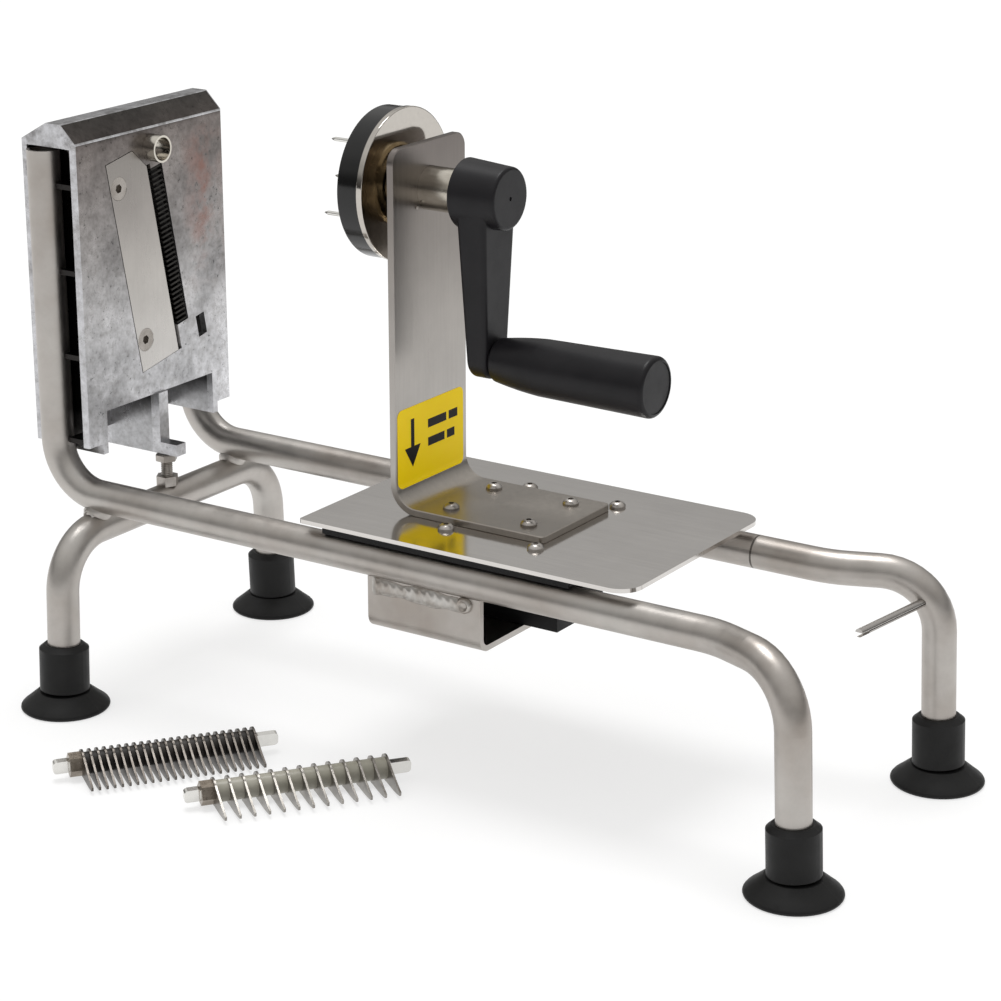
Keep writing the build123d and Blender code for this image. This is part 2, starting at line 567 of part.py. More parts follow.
with BuildPart() as crank_bracket:
    with BuildSketch(Plane.XZ.offset(-BRACKET_HALF)):
        x_out = BRACKET_X - BRACKET_T
        with BuildLine():
            Polyline((x_out, BRACKET_TOP), (x_out, PLATE_Z1 + BEND_R))
            CenterArc((x_out + BEND_R, PLATE_Z1 + BEND_R), BEND_R, 180, 90)
            Polyline((x_out + BEND_R, PLATE_Z1), (BRACKET_END, PLATE_Z1),
                     (BRACKET_END, PLATE_Z1 + BRACKET_T), (x_out + BEND_R, PLATE_Z1 + BRACKET_T))
            CenterArc((x_out + BEND_R, PLATE_Z1 + BEND_R), BEND_R - BRACKET_T, 270, -90)
            Polyline((BRACKET_X, PLATE_Z1 + BEND_R), (BRACKET_X, BRACKET_TOP), (x_out, BRACKET_TOP))
        make_face()
    extrude(amount=2 * BRACKET_HALF)
    fillet(crank_bracket.edges().filter_by(Axis.X).sort_by(Axis.Z)[-2:], 7.0)
    fillet(crank_bracket.edges().filter_by(Axis.Z).filter_by(
        lambda e: e.center().X > BRACKET_END - 1), 2.5)
    # broken edges all along both sides
    chamfer(crank_bracket.edges().filter_by(lambda e: abs(abs(e.center().Y) - BRACKET_HALF) < 0.01
                                            and e.length > 10), 0.4)
    with Locations(*[(x, y, PLATE_Z1) for x, y in foot_screw_at]):
        Cylinder(SCREW_R + 0.1, 20.0, mode=Mode.SUBTRACT)
    with Locations(Plane((BRACKET_X, 0, SPINDLE_Z), z_dir=(1, 0, 0))):
        Cylinder(10.25, 20.0, mode=Mode.SUBTRACT)
    with Locations(Plane((BRACKET_X, -10.5, 257.6), z_dir=(1, 0, 0))):
        Cylinder(0.9, 20.0, mode=Mode.SUBTRACT)
save(crank_bracket.part, "crank_bracket")


def pan_screws(name, points, z, length):
    """Domed-head socket screws standing on z."""
    with BuildPart() as screws:
        with BuildSketch(Plane.XZ):
            with BuildLine():
                Polyline((0, 0), (3.9, 0), (3.9, 0.9))
                Spline((3.9, 0.9), (2.9, 2.1), (0, 2.7))
                Line((0, 2.7), (0, 0))
            make_face()
        revolve(axis=Axis.Z)
        with Locations((0, 0, -length / 2 + 0.5)):
            Cylinder(SCREW_R - 0.02, length + 1)
        with BuildSketch(Plane.XY.offset(1.3)):
            RegularPolygon(1.25, 6, major_radius=False)
        extrude(amount=3, mode=Mode.SUBTRACT)
    with BuildPart() as group:
        for i, (x, y) in enumerate(points):
            with Locations(Location((x, y, z), (0, 0, 23 + 37 * i))):
                add(screws.part)
    save(group.part, name)


pan_screws("foot_screws", foot_screw_at, PLATE_Z1 + BRACKET_T, 13.0)
pan_screws("plate_screws", plate_screw_at, PLATE_Z1, 9.0)

with BuildPart() as bracket_label:
    # a thin skin on the upright and the first of the bend, trimmed to a rounded rectangle
    bend_x, bend_z = BRACKET_X - BRACKET_T + BEND_R, PLATE_Z1 + BEND_R
    with BuildSketch(Plane.XZ.offset(-BRACKET_HALF)):
        with BuildLine():
            Line((BRACKET_X, 170), (BRACKET_X, bend_z))
            CenterArc((bend_x, bend_z), BEND_R - BRACKET_T, 180, 30)
            Line((bend_x, bend_z) + Vector(BEND_R - BRACKET_T, 0).rotate(Axis.Z, 210),
                 (bend_x, bend_z) + Vector(BEND_R - BRACKET_T - LABEL_T, 0).rotate(Axis.Z, 210))
            CenterArc((bend_x, bend_z), BEND_R - BRACKET_T - LABEL_T, 210, -30)
            Polyline((BRACKET_X + LABEL_T, bend_z), (BRACKET_X + LABEL_T, 170), (BRACKET_X, 170))
        make_face()
    extrude(amount=2 * BRACKET_HALF)
    with BuildSketch(Plane.YZ.offset(BRACKET_X - 1)):
        with Locations((-0.8, 145.4)):
            RectangleRounded(54.0, 38.0, 3.5)
    extrude(amount=10, mode=Mode.INTERSECT)
save(bracket_label.part, "bracket_label")

with BuildPart() as bearing_sleeve:
    with BuildSketch(Plane.YZ.offset(184.2 - 6.0)):
        with Locations((0, SPINDLE_Z)):
            Circle(10.2)
            Circle(SHAFT_R + RUN, mode=Mode.SUBTRACT)
    extrude(amount=SLEEVE_END_X - 178.2)
save(bearing_sleeve.part, "bearing_sleeve")

with BuildPart() as bearing_collar:
    with BuildSketch(Plane.YZ.offset(BRACKET_X - BRACKET_T - 5.5)):
        with Locations((0, SPINDLE_Z)):
            Circle(19.0)
            Circle(10.2, mode=Mode.SUBTRACT)
    extrude(amount=5.5)
    chamfer(bearing_collar.faces().sort_by(Axis.X)[0].outer_wire().edges(), 1.2)
save(bearing_collar.part, "bearing_collar")

with BuildPart() as locking_pin:
    with BuildSketch(Plane.YZ.offset(BRACKET_X - BRACKET_T)):
        with Locations((-10.5, 257.6)):
            Circle(0.9)
    extrude(amount=BRACKET_T + 0.4)
save(locking_pin.part, "locking_pin")

# ---------------------------------------------------------------- crank, spindle and spiked disc
prong_at = [(24.0, 34.0 + 90 * i) for i in range(4)] + [(11.5, 78.5 + 90 * i) for i in range(4)]
prong_yz = [(r * cos(radians(a)), SPINDLE_Z + r * sin(radians(a))) for r, a in prong_at]

with BuildPart() as spindle:
    with BuildSketch(Plane.YZ.offset(166.0)):
        with Locations((0, SPINDLE_Z)):
            Circle(SHAFT_R)
    extrude(amount=228.0 - 166.0)
    with BuildSketch(Plane.YZ.offset(DISC_X2)):
        with Locations((0, SPINDLE_Z)):
            Circle(12.5)
    extrude(amount=3.1)
save(spindle.part, "spindle")

with BuildPart() as backing_disc:
    with BuildSketch(Plane.YZ.offset(DISC_X1)):
        with Locations((0, SPINDLE_Z)):
            Circle(BACK_R)
            Circle(SHAFT_R, mode=Mode.SUBTRACT)
    extrude(amount=DISC_X2 - DISC_X1)
    fillet(backing_disc.edges().filter_by(GeomType.CIRCLE).filter_by(lambda e: e.radius > 30), 0.5)
save(backing_disc.part, "backing_disc")

with BuildPart() as prong_disc:
    with BuildSketch(Plane.YZ.offset(DISC_X0)):
        with Locations((0, SPINDLE_Z)):
            Circle(DISC_R)
    extrude(amount=DISC_X1 - DISC_X0)
    fillet(prong_disc.faces().sort_by(Axis.X)[0].edges(), 1.2)
    with BuildSketch(Plane.YZ.offset(DISC_X0 - 1)):
        with Locations(*prong_yz):
            Circle(PRONG_R)
    extrude(amount=20, mode=Mode.SUBTRACT)
    with Locations(Plane((DISC_X1, 0, SPINDLE_Z), z_dir=(1, 0, 0))):
        Cylinder(SHAFT_R, 2 * (DISC_X1 - 166.0), mode=Mode.SUBTRACT)
save(prong_disc.part, "prong_disc")

with BuildPart() as prongs:
    for y, z in prong_yz:
        with BuildSketch(Plane.YZ.offset(PRONG_TIP_X + 2.0)):
            with Locations((y, z)):
                Circle(PRONG_R)
        extrude(amount=DISC_X1 - PRONG_TIP_X - 2.0)
        with BuildSketch(Plane.YZ.offset(PRONG_TIP_X + 2.0)):
            with Locations((y, z)):
                Circle(PRONG_R)
        extrude(amount=-2.0, taper=20)
save(prongs.part, "prongs")

with BuildPart() as arm:
    # narrower and thinner towards the grip, rounded all over
    with BuildSketch(Plane.YZ.offset(ARM_X0)):
        with Locations((0, SPINDLE_Z - 4)):
            Circle(13.6)
        with Locations((0, GRIP_Z)):
            Circle(9.4)
        make_hull()
    extrude(amount=ARM_X1 - ARM_X0)
    with BuildSketch(Plane.XZ.offset(-30)):
        Polygon((ARM_X0, SPINDLE_Z + 2), (ARM_X0 + 3.4, GRIP_Z - 12), (ARM_X1 - 2.2, GRIP_Z - 12),
                (ARM_X1, SPINDLE_Z + 2), align=None)
    extrude(amount=60, mode=Mode.INTERSECT)
    fillet(arm.edges().filter_by(lambda e: e.center().Z < SPINDLE_Z + 1).filter_by(Axis.X, reverse=True), 2.4)

with BuildPart() as crank_arm:
    # hub, drafted towards the front
    with BuildSketch(Plane.YZ.offset(HUB_X0)):
        with Locations((0, SPINDLE_Z)):
            Circle(16.2)
    with BuildSketch(Plane.YZ.offset(HUB_X1)):
        with Locations((0, SPINDLE_Z)):
            Circle(14.4)
    loft()
    fillet(crank_arm.edges().filter_by(GeomType.CIRCLE).sort_by(Axis.X)[-1], 1.6)
    add(arm.part)
    with Locations(Plane((166.0, 0, SPINDLE_Z), z_dir=(1, 0, 0))):
        Cylinder(SHAFT_R, 2 * (228.0 - 166.0), mode=Mode.SUBTRACT)
    with Locations(Plane((HUB_X1, 0, SPINDLE_Z), z_dir=(1, 0, 0))):
        Cylinder(1.0, 1.2, mode=Mode.SUBTRACT)
    with Locations(Plane((216.0, 0, GRIP_Z), z_dir=(1, 0, 0))):
        with Locations((0, 0, 10)):
            Cylinder(AXLE_R, 20, mode=Mode.SUBTRACT)
save(crank_arm.part, "crank_arm")

with BuildPart() as grip_axle:
    with BuildSketch(Plane.YZ.offset(216.0)):
        with Locations((0, GRIP_Z)):
            Circle(AXLE_R)
    extrude(amount=303.0 - 216.0)
    with BuildSketch(Plane.YZ.offset(300.5)):
        with Locations((0, GRIP_Z)):
            Circle(6.5)
    extrude(amount=2.5)
save(grip_axle.part, "grip_axle")

with BuildPart() as grip:
    with BuildSketch(Plane.XZ):
        with BuildLine():
            Polyline((GRIP_X0, 0), (GRIP_X0, 9.0), (GRIP_X0 + 1.4, 10.3))
            Spline((GRIP_X0 + 1.4, 10.3), (GRIP_X0 + 12, 12.0), (GRIP_X0 + 25, 13.3))
            Polyline((GRIP_X0 + 25, 13.3), (GRIP_X1 - 2.2, 14.2))
            Spline((GRIP_X1 - 2.2, 14.2), (GRIP_X1 - 0.7, 13.6), (GRIP_X1, 12.3))
            Polyline((GRIP_X1, 12.3), (GRIP_X1, 0), (GRIP_X0, 0))
        make_face()
        with Locations(((GRIP_X0 + 300.2) / 2, 0)):
            Rectangle(300.2 - GRIP_X0, 2 * (AXLE_R + RUN), mode=Mode.SUBTRACT)
        with Locations(((300.2 + GRIP_X1 - 3.5) / 2, 0)):
            Rectangle(GRIP_X1 - 3.5 - 300.2, 2 * 7.2, mode=Mode.SUBTRACT)
        with Locations((GRIP_X1 - 1.75, 0)):
            Rectangle(3.5, 2 * 12.0, mode=Mode.SUBTRACT)
    revolve(axis=Axis.X)
with BuildPart() as grip_sleeve:
    with Locations((0, 0, GRIP_Z)):
        add(grip.part)
save(grip_sleeve.part, "grip_sleeve")

with BuildPart() as grip_cap:
    with BuildSketch(Plane.YZ.offset(GRIP_X1 - 3.5)):
        with Locations((0, GRIP_Z)):
            Circle(12.0)
    extrude(amount=3.1)
save(grip_cap.part, "grip_cap")
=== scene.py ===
"""Look of the crank-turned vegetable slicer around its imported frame. Lengths are in metres."""
import json
import math

import bmesh
import bpy
from mathutils import Matrix, Vector


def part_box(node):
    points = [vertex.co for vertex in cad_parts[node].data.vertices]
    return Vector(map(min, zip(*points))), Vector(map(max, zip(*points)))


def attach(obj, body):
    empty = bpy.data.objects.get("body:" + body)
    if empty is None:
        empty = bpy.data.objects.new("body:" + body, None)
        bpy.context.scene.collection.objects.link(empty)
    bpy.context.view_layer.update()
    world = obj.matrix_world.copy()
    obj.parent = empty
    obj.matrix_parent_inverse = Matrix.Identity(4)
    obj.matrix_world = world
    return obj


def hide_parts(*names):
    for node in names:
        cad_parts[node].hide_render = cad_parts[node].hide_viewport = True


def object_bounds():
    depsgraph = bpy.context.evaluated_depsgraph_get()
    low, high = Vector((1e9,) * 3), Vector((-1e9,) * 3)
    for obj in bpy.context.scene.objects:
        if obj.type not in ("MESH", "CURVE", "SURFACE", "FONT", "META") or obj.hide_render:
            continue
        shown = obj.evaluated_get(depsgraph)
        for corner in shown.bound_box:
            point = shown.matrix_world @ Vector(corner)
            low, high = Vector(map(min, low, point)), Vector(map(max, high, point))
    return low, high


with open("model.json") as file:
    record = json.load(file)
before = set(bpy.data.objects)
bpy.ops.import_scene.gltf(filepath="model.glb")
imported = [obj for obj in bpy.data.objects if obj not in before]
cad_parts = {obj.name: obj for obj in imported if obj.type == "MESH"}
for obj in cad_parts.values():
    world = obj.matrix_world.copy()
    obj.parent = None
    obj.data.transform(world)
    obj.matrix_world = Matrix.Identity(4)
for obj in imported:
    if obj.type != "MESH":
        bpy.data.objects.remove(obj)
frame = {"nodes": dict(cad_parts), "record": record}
cad_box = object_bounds()
MM = 0.001

# camera at the photograph's viewing angle
CAMERA_AZIMUTH = math.radians(33.43)
CAMERA_ELEVATION = math.radians(19.14)
CAMERA_LENS, SENSOR_WIDTH = 103.43, 36.0
CAMERA_SHIFT = (-0.0016, 0.0328)
CAMERA_TARGET = Vector((5.02, 35.29, 101.12)) * MM
CAMERA_DISTANCE = 1.3608
CAMERA_REACH = 50.0

# floor and light
FLOOR_HALF = 9.0
FLOOR_DROP = 0.2 * MM
FLOOR_GREY, FLOOR_GLOW = 0.40, 0.63
KEY_STRENGTH, KEY_SPREAD = 1.25, 0.42
KEY_TILT = (math.radians(-9), math.radians(-10), 0)
SKY_BELOW, SKY_ABOVE = (0.05, 0.048, 0.046, 1), (0.80, 0.80, 0.80, 1)
SKY_BANDS = ((0.16, 0.14), (0.33, 0.50), (0.45, 0.52), (0.62, 0.74))

# stretch of a noise pattern: even, or drawn out along one axis
EVEN = (1, 1, 1)
LONG_X, LONGER_X = (0.1, 1, 1), (0.06, 1, 1)
LONG_Z, LONGER_Z = (1, 1, 0.12), (1, 1, 0.04)

# finer grain of the small screws and nuts
SCREW_GRAIN = {"grain": 600, "blotch": 120}

# the butt joint that shows as a dark ring on the far side tube
SEAM_FROM_END = 347 * MM
SEAM_HALF = 0.5 * MM
SEAM_Y, SEAM_REACH = 80 * MM, 12 * MM

# weld runs
WELD_BURIED = 0.15 * MM
BEAD_PITCH, BEAD_TALL = 4.3 * MM, 8.0 * MM
BEAD_STEPS, BEAD_ROWS = 180, 24
CRATER_STEPS, CRATER_WOBBLE = 40, 0.03
# radius and height in mm, from the sunk middle over the rim and down to the tube
CRATER_PROFILE = ((0.01, 0.9), (0.9, 0.8), (1.5, 0.9), (1.9, 1.5), (2.4, 1.9), (2.9, 1.6), (3.3, 0.9),
                  (3.6, -0.6))

# adjusting screw
THREAD_ROOT_R, THREAD_CREST_R, THREAD_PITCH = 2.55 * MM, 2.98 * MM, 1.0 * MM
THREAD_STEPS = 24
HEX_TALL, HEX_APOTHEM = 4.0 * MM, 5.0 * MM
HEX_SOFT = 0.25 * MM

# printed signs on the label, in mm from its lower near corner
ARROW_MIDDLE, ARROW_TOP, ARROW_SHOULDER, ARROW_TIP = 12.0, 32.0, 18.5, 8.5
ARROW_SHAFT_HALF, ARROW_HEAD_HALF = 1.4, 6.4
BAR_START, BAR_HALF, BAR_BREAK, BAR_SHARE = 24.5, 2.1, 2.0, 0.62
BARS = ((26.5, 49.0), (17.5, 46.5))
PRINT_LIFT = 0.2 * MM


# ------------------------------------------------------------------ camera, floor and light
def camera():
    """Long lens, a little above the carriage, from the crank side of the near rail."""
    flat = math.cos(CAMERA_ELEVATION)
    back = Vector((math.sin(CAMERA_AZIMUTH) * flat, -math.cos(CAMERA_AZIMUTH) * flat,
                   math.sin(CAMERA_ELEVATION)))
    data = bpy.data.cameras.new("camera")
    data.lens, data.sensor_width = CAMERA_LENS, SENSOR_WIDTH
    data.shift_x, data.shift_y = CAMERA_SHIFT
    data.clip_end = CAMERA_REACH
    cam = bpy.data.objects.new("camera", data)
    bpy.context.scene.collection.objects.link(cam)
    cam.location = CAMERA_TARGET + back * CAMERA_DISTANCE
    cam.rotation_euler = (-back).to_track_quat("-Z", "Y").to_euler()
    bpy.context.scene.camera = cam


def floor_sheet():
    """White paper under the feet."""
    floor = bpy.data.meshes.new("floor")
    half = FLOOR_HALF
    corners = [(-half, -half, 0), (half, -half, 0), (half, half, 0), (-half, half, 0)]
    floor.from_pydata(corners, [], [(0, 1, 2, 3)])
    floor_object = bpy.data.objects.new("floor", floor)
    floor_object.location.z = cad_box[0].z - FLOOR_DROP
    bpy.context.scene.collection.objects.link(floor_object)
    paper = Nodes("paper")
    paper.set(Base_Color=(FLOOR_GREY, FLOOR_GREY, FLOOR_GREY, 1), Roughness=0.9, Specular_IOR_Level=0.1,
              Emission_Color=(1, 1, 1, 1), Emission_Strength=FLOOR_GLOW)
    floor.materials.append(paper.material)


def key_light():
    """One high soft lamp."""
    key = bpy.data.lights.new("key", "SUN")
    key.energy, key.angle = KEY_STRENGTH, KEY_SPREAD
    key_object = bpy.data.objects.new("key", key)
    key_object.rotation_euler = KEY_TILT
    bpy.context.scene.collection.objects.link(key_object)


def sky():
    """Bright overhead, grey at the horizon and dark below it."""
    world = bpy.data.worlds.new("world")
    bpy.context.scene.world = world
    world.use_nodes = True
    tree = world.node_tree
    coords = tree.nodes.new("ShaderNodeTexCoord")
    split = tree.nodes.new("ShaderNodeSeparateXYZ")
    bands = tree.nodes.new("ShaderNodeValToRGB")
    stops = bands.color_ramp.elements
    stops[0].position, stops[0].color = 0.0, SKY_BELOW
    stops[1].position, stops[1].color = 1.0, SKY_ABOVE
    for place, level in SKY_BANDS:
        stop = stops.new(place)
        stop.color = (level, level * 0.99, level * 0.97, 1)
    tree.links.new(coords.outputs["Generated"], split.inputs[0])
    tree.links.new(split.outputs["Z"], bands.inputs["Fac"])
    tree.links.new(bands.outputs["Color"], tree.nodes["Background"].inputs["Color"])
    tree.nodes["Background"].inputs["Strength"].default_value = 1.0


def studio():
    """White floor, one soft key and the sky."""
    bpy.context.scene.view_settings.view_transform = "Standard"
    floor_sheet()
    key_light()
    sky()


# ------------------------------------------------------------------ materials
class Nodes:
    """Short ways to add nodes to one material."""

    def __init__(self, name):
        self.material = bpy.data.materials.new(name)
        self.material.use_nodes = True
        self.tree = self.material.node_tree
        self.shader = self.tree.nodes["Principled BSDF"]
        self.place = self.tree.nodes.new("ShaderNodeTexCoord").outputs["Object"]

    def set(self, **values):
        """Plain values on the shader's sockets."""
        for key, value in values.items():
            self.shader.inputs[key.replace("_", " ")].default_value = value

    def link(self, output, key):
        """An output into one of the shader's sockets."""
        self.tree.links.new(output, self.shader.inputs[key])

    def noise(self, scale, detail, rough, stretch=EVEN):
        """Noise from 0 to 1; scale is in features a metre."""
        mapping = self.tree.nodes.new("ShaderNodeMapping")
        mapping.inputs["Scale"].default_value = stretch
        self.tree.links.new(self.place, mapping.inputs["Vector"])
        node = self.tree.nodes.new("ShaderNodeTexNoise")
        node.inputs["Scale"].default_value = scale
        node.inputs["Detail"].default_value = detail
        node.inputs["Roughness"].default_value = rough
        self.tree.links.new(mapping.outputs["Vector"], node.inputs["Vector"])
        return node.outputs["Fac"]

    def ramp(self, fac, *stops):
        """fac through (place, grey or colour) stops."""
        node = self.tree.nodes.new("ShaderNodeValToRGB")
        ramp = node.color_ramp
        ramp.elements[0].position, ramp.elements[1].position = stops[0][0], stops[-1][0]
        for place, _ in stops[1:-1]:
            ramp.elements.new(place)
        for element, (_, value) in zip(ramp.elements, stops):
            element.color = (*value, 1) if isinstance(value, tuple) else (value, value, value, 1)
        self.tree.links.new(fac, node.inputs["Fac"])
        return node.outputs["Color"]

    def mix(self, fac, a, b, blend="MIX"):
        """b over a by fac; each is an output or a plain value."""
        node = self.tree.nodes.new("ShaderNodeMix")
        node.data_type, node.blend_type = "RGBA", blend
        for value, socket in ((fac, node.inputs[0]), (a, node.inputs[6]), (b, node.inputs[7])):
            if isinstance(value, bpy.types.NodeSocket):
                self.tree.links.new(value, socket)
            else:
                socket.default_value = value
        return node.outputs[2]

    def times(self, a, b):
        """Product of two colours."""
        return self.mix(1.0, a, b, "MULTIPLY")

    def axis(self, key):
        """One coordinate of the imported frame, in metres."""
        node = self.tree.nodes.new("ShaderNodeSeparateXYZ")
        self.tree.links.new(self.place, node.inputs[0])
        return node.outputs[key]

    def span(self, value, low, high):
        """value mapped from low..high to 0..1."""
        node = self.tree.nodes.new("ShaderNodeMapRange")
        node.inputs["From Min"].default_value = low
        node.inputs["From Max"].default_value = high
        self.tree.links.new(value, node.inputs["Value"])
        return node.outputs["Result"]

    def near(self, value, middle, reach):
        """1 where value is within reach of middle, else 0."""
        node = self.tree.nodes.new("ShaderNodeMath")
        node.operation = "COMPARE"
        node.inputs[1].default_value, node.inputs[2].default_value = middle, reach
        self.tree.links.new(value, node.inputs[0])
        return node.outputs[0]

    def both(self, a, b, operation="MULTIPLY"):
        """Where both masks are."""
        node = self.tree.nodes.new("ShaderNodeMath")
        node.operation = operation
        self.tree.links.new(a, node.inputs[0])
        self.tree.links.new(b, node.inputs[1])
        return node.outputs[0]

    def either(self, a, b):
        """Where either mask is."""
        return self.both(a, b, "MAXIMUM")

    def bump(self, height, strength, distance, below=None):
        """Relief from a height, on top of an earlier one."""
        node = self.tree.nodes.new("ShaderNodeBump")
        node.inputs["Strength"].default_value = strength
        node.inputs["Distance"].default_value = distance
        self.tree.links.new(height, node.inputs["Height"])
        if below is not None:
            self.tree.links.new(below, node.inputs["Normal"])
        return node.outputs["Normal"]


def brushed(name, dark, light, rough, stretch=EVEN, grain=500, blotch=90):
    """Small metal part with a fine grain and slow changes of tone."""
    n = Nodes(name)
    n.set(Metallic=1.0)
    lines = n.noise(grain, 5, 0.7, stretch)
    tone = n.ramp(n.noise(blotch, 3, 0.6), (0.3, dark), (0.7, light))
    n.link(n.times(tone, n.ramp(lines, (0.3, 0.86), (0.7, 1.0))), "Base Color")
    n.link(n.ramp(lines, (0.25, rough[0]), (0.75, rough[1])), "Roughness")
    n.link(n.bump(lines, 0.25, 0.04 * MM), "Normal")
    return n.material


def satin_tube():
    """Bead-finished stainless tube, a little brown in places, finely scuffed, with one faint seam."""
    n = Nodes("satin_tube")
    n.set(Metallic=1.0)
    brown, grey, pale = (0.41, 0.37, 0.335), (0.50, 0.47, 0.44), (0.56, 0.54, 0.51)
    tone = n.ramp(n.noise(16, 4, 0.6), (0.32, brown), (0.5, grey), (0.72, pale))
    scuff = n.noise(900, 3, 0.7)
    smear = n.noise(70, 5, 0.65)
    worn = n.times(tone, n.ramp(smear, (0.3, 0.86), (0.65, 1.0)))
    ring = n.near(n.axis("X"), cad_box[0].x + SEAM_FROM_END, SEAM_HALF)
    seam = n.both(ring, n.near(n.axis("Y"), SEAM_Y, SEAM_REACH))
    n.link(n.mix(seam, worn, (0.13, 0.12, 0.11, 1)), "Base Color")
    n.link(n.ramp(smear, (0.3, 0.34), (0.7, 0.45)), "Roughness")
    n.link(n.bump(scuff, 0.25, 0.04 * MM, n.bump(smear, 0.12, 0.2 * MM)), "Normal")
    return n.material


def casting_streak(n, rise, far_y):
    """Mask of a reddish streak down the far upper corner of the front."""
    width = 34 * MM
    right = n.ramp(n.span(n.axis("Y"), far_y - width, far_y), (0.0, 0.0), (0.55, 1.0), (0.8, 0.25))
    tall = n.ramp(rise, (0.42, 0.0), (0.62, 1.0), (0.88, 1.0), (0.93, 0.0))
    patchy = n.ramp(n.noise(60, 6, 0.65), (0.42, 0.0), (0.60, 0.75))
    return n.both(n.both(right, tall), patchy)


def casting_edge_highlights(n, wall, top):
    """Mask of the upright ends, the ridge and the upper edge of the front: a painted highlight where these
    edges would catch the light, on metal that is worn there too.
    """
    edge, ridge, chamfer, chamfer_half = 0.6 * MM, 0.35 * MM, 9 * MM, 0.5 * MM
    ends = n.either(n.near(n.axis("Y"), wall[0].y, edge), n.near(n.axis("Y"), wall[1].y, edge))
    upper = n.both(n.near(n.axis("Z"), top - chamfer, chamfer_half), n.near(n.axis("X"), wall[1].x, edge))
    crest = n.either(n.near(n.axis("Z"), top, ridge), upper)
    return n.both(n.either(ends, crest), n.ramp(n.noise(90, 5, 0.6), (0.35, 0.45), (0.5, 1.0)))


def casting_inner_shade(n, mottle, rise, wall):
    """Painted shade between the two walls: dark, and lighter again below the cut in the front wall."""
    cut_half = 44.7 * MM
    below = n.both(n.near(n.axis("Y"), (wall[0].y + wall[1].y) / 2, cut_half),
                   n.ramp(rise, (0.105, 1.0), (0.175, 0.0)))
    return n.mix(below, (0.028, 0.026, 0.025, 1), n.times(mottle, (0.75, 0.75, 0.76, 1)))


def casting():
    """Tumbled cast aluminium: fine grey mottling, small pits, a darker, browner top, painted highlights along
    the edges, painted shade inside.
    """
    n = Nodes("casting")
    n.set(Metallic=0.95)
    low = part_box("head_rib")[0]
    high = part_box("head_cap")[1]
    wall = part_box("head_front_wall")
    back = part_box("head_back_wall")
    skin = 0.1 * MM
    rise = n.span(n.axis("Z"), low.z, high.z)
    mottle = n.ramp(n.noise(260, 9, 0.7), (0.32, (0.40, 0.395, 0.39)), (0.5, (0.54, 0.54, 0.545)),
                    (0.70, (0.68, 0.68, 0.69)))
    cloud = n.noise(30, 6, 0.62)
    broad = n.ramp(cloud, (0.36, 0.62), (0.52, 0.92), (0.66, 1.12))
    stain = n.ramp(rise, (0.15, (1.10, 1.10, 1.12)), (0.42, (0.88, 0.87, 0.87)), (0.62, (0.60, 0.575, 0.56)),
                   (0.80, (0.44, 0.405, 0.385)), (0.935, (0.34, 0.30, 0.28)), (0.950, (0.15, 0.13, 0.12)),
                   (1.0, (0.12, 0.11, 0.10)))
    pits = n.ramp(n.noise(480, 5, 0.75), (0.33, 0.30), (0.39, 1.0))
    colour = n.times(n.times(mottle, broad), n.times(stain, pits))
    colour = n.mix(casting_streak(n, rise, wall[1].y), colour, (0.24, 0.115, 0.09, 1))
    # painted highlight: the edges lightened as if catching the light, over worn metal
    colour = n.mix(casting_edge_highlights(n, wall, high.z), colour, n.times(mottle, (0.98, 0.98, 1.0, 1)))
    # painted shade: the faces between the two walls are coloured dark, as if unlit
    middle, half = (wall[0].x + back[1].x) / 2, (wall[0].x - back[1].x) / 2 + skin
    inside = n.both(n.near(n.axis("X"), middle, half), n.near(n.axis("Z"), low.z, wall[1].z - skin - low.z))
    n.link(n.mix(inside, colour, casting_inner_shade(n, mottle, rise, wall)), "Base Color")
    n.link(n.ramp(cloud, (0.3, 0.36), (0.7, 0.24)), "Roughness")
    n.link(n.bump(pits, 0.35, 0.15 * MM, n.bump(n.noise(130, 7, 0.6), 0.3, 0.3 * MM)), "Normal")
    return n.material


def ground_sheet(name, sheen, rise, tones, cloud, grain, rough, relief):
    """Ground steel; rise is (lowest, highest) Z, cloud and grain are (noise settings, darkest tone)."""
    n = Nodes(name)
    n.set(Metallic=1.0, Anisotropic=sheen)
    lines = n.noise(*grain[0])
    tone = n.ramp(n.span(n.axis("Z"), *rise), *tones)
    patches = n.ramp(n.noise(*cloud[0]), (0.3, cloud[1]), (0.7, 1.0))
    n.link(n.times(n.times(tone, patches), n.ramp(lines, (0.3, grain[1]), (0.7, 1.0))), "Base Color")
    n.link(n.ramp(lines, (0.25, rough[0]), (0.75, rough[1])), "Roughness")
    n.link(n.bump(lines, *relief), "Normal")
    return n.material


def blade_steel():
    """Ground blade with a soft sheen, warmer and darker towards the top of the slicing blade."""
    low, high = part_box("slicing_blade")
    tones = ((0.05, (0.62, 0.60, 0.575)), (0.45, (0.52, 0.495, 0.465)), (0.75, (0.36, 0.335, 0.315)),
             (1.0, (0.30, 0.28, 0.26)))
    cloud, grain = ((40, 5, 0.6), 0.88), ((420, 5, 0.7, LONG_Z), 0.9)
    return ground_sheet("blade_steel", 0.2, (low.z, high.z), tones, cloud, grain, (0.24, 0.34),
                        (0.1, 0.03 * MM))


def bracket_steel():
    """Sheet with upright grain, darker and browner towards the top, its foot browner still."""
    low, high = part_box("crank_bracket")
    tones = ((0.02, (0.42, 0.385, 0.345)), (0.12, (0.50, 0.48, 0.455)), (0.50, (0.42, 0.395, 0.37)),
             (0.80, (0.29, 0.265, 0.245)), (1.0, (0.23, 0.205, 0.19)))
    cloud, grain = ((26, 4, 0.6), 0.86), ((480, 5, 0.7, LONGER_Z), 0.86)
    return ground_sheet("bracket_steel", 0.3, (low.z, high.z), tones, cloud, grain, (0.26, 0.40),
                        (0.22, 0.04 * MM))


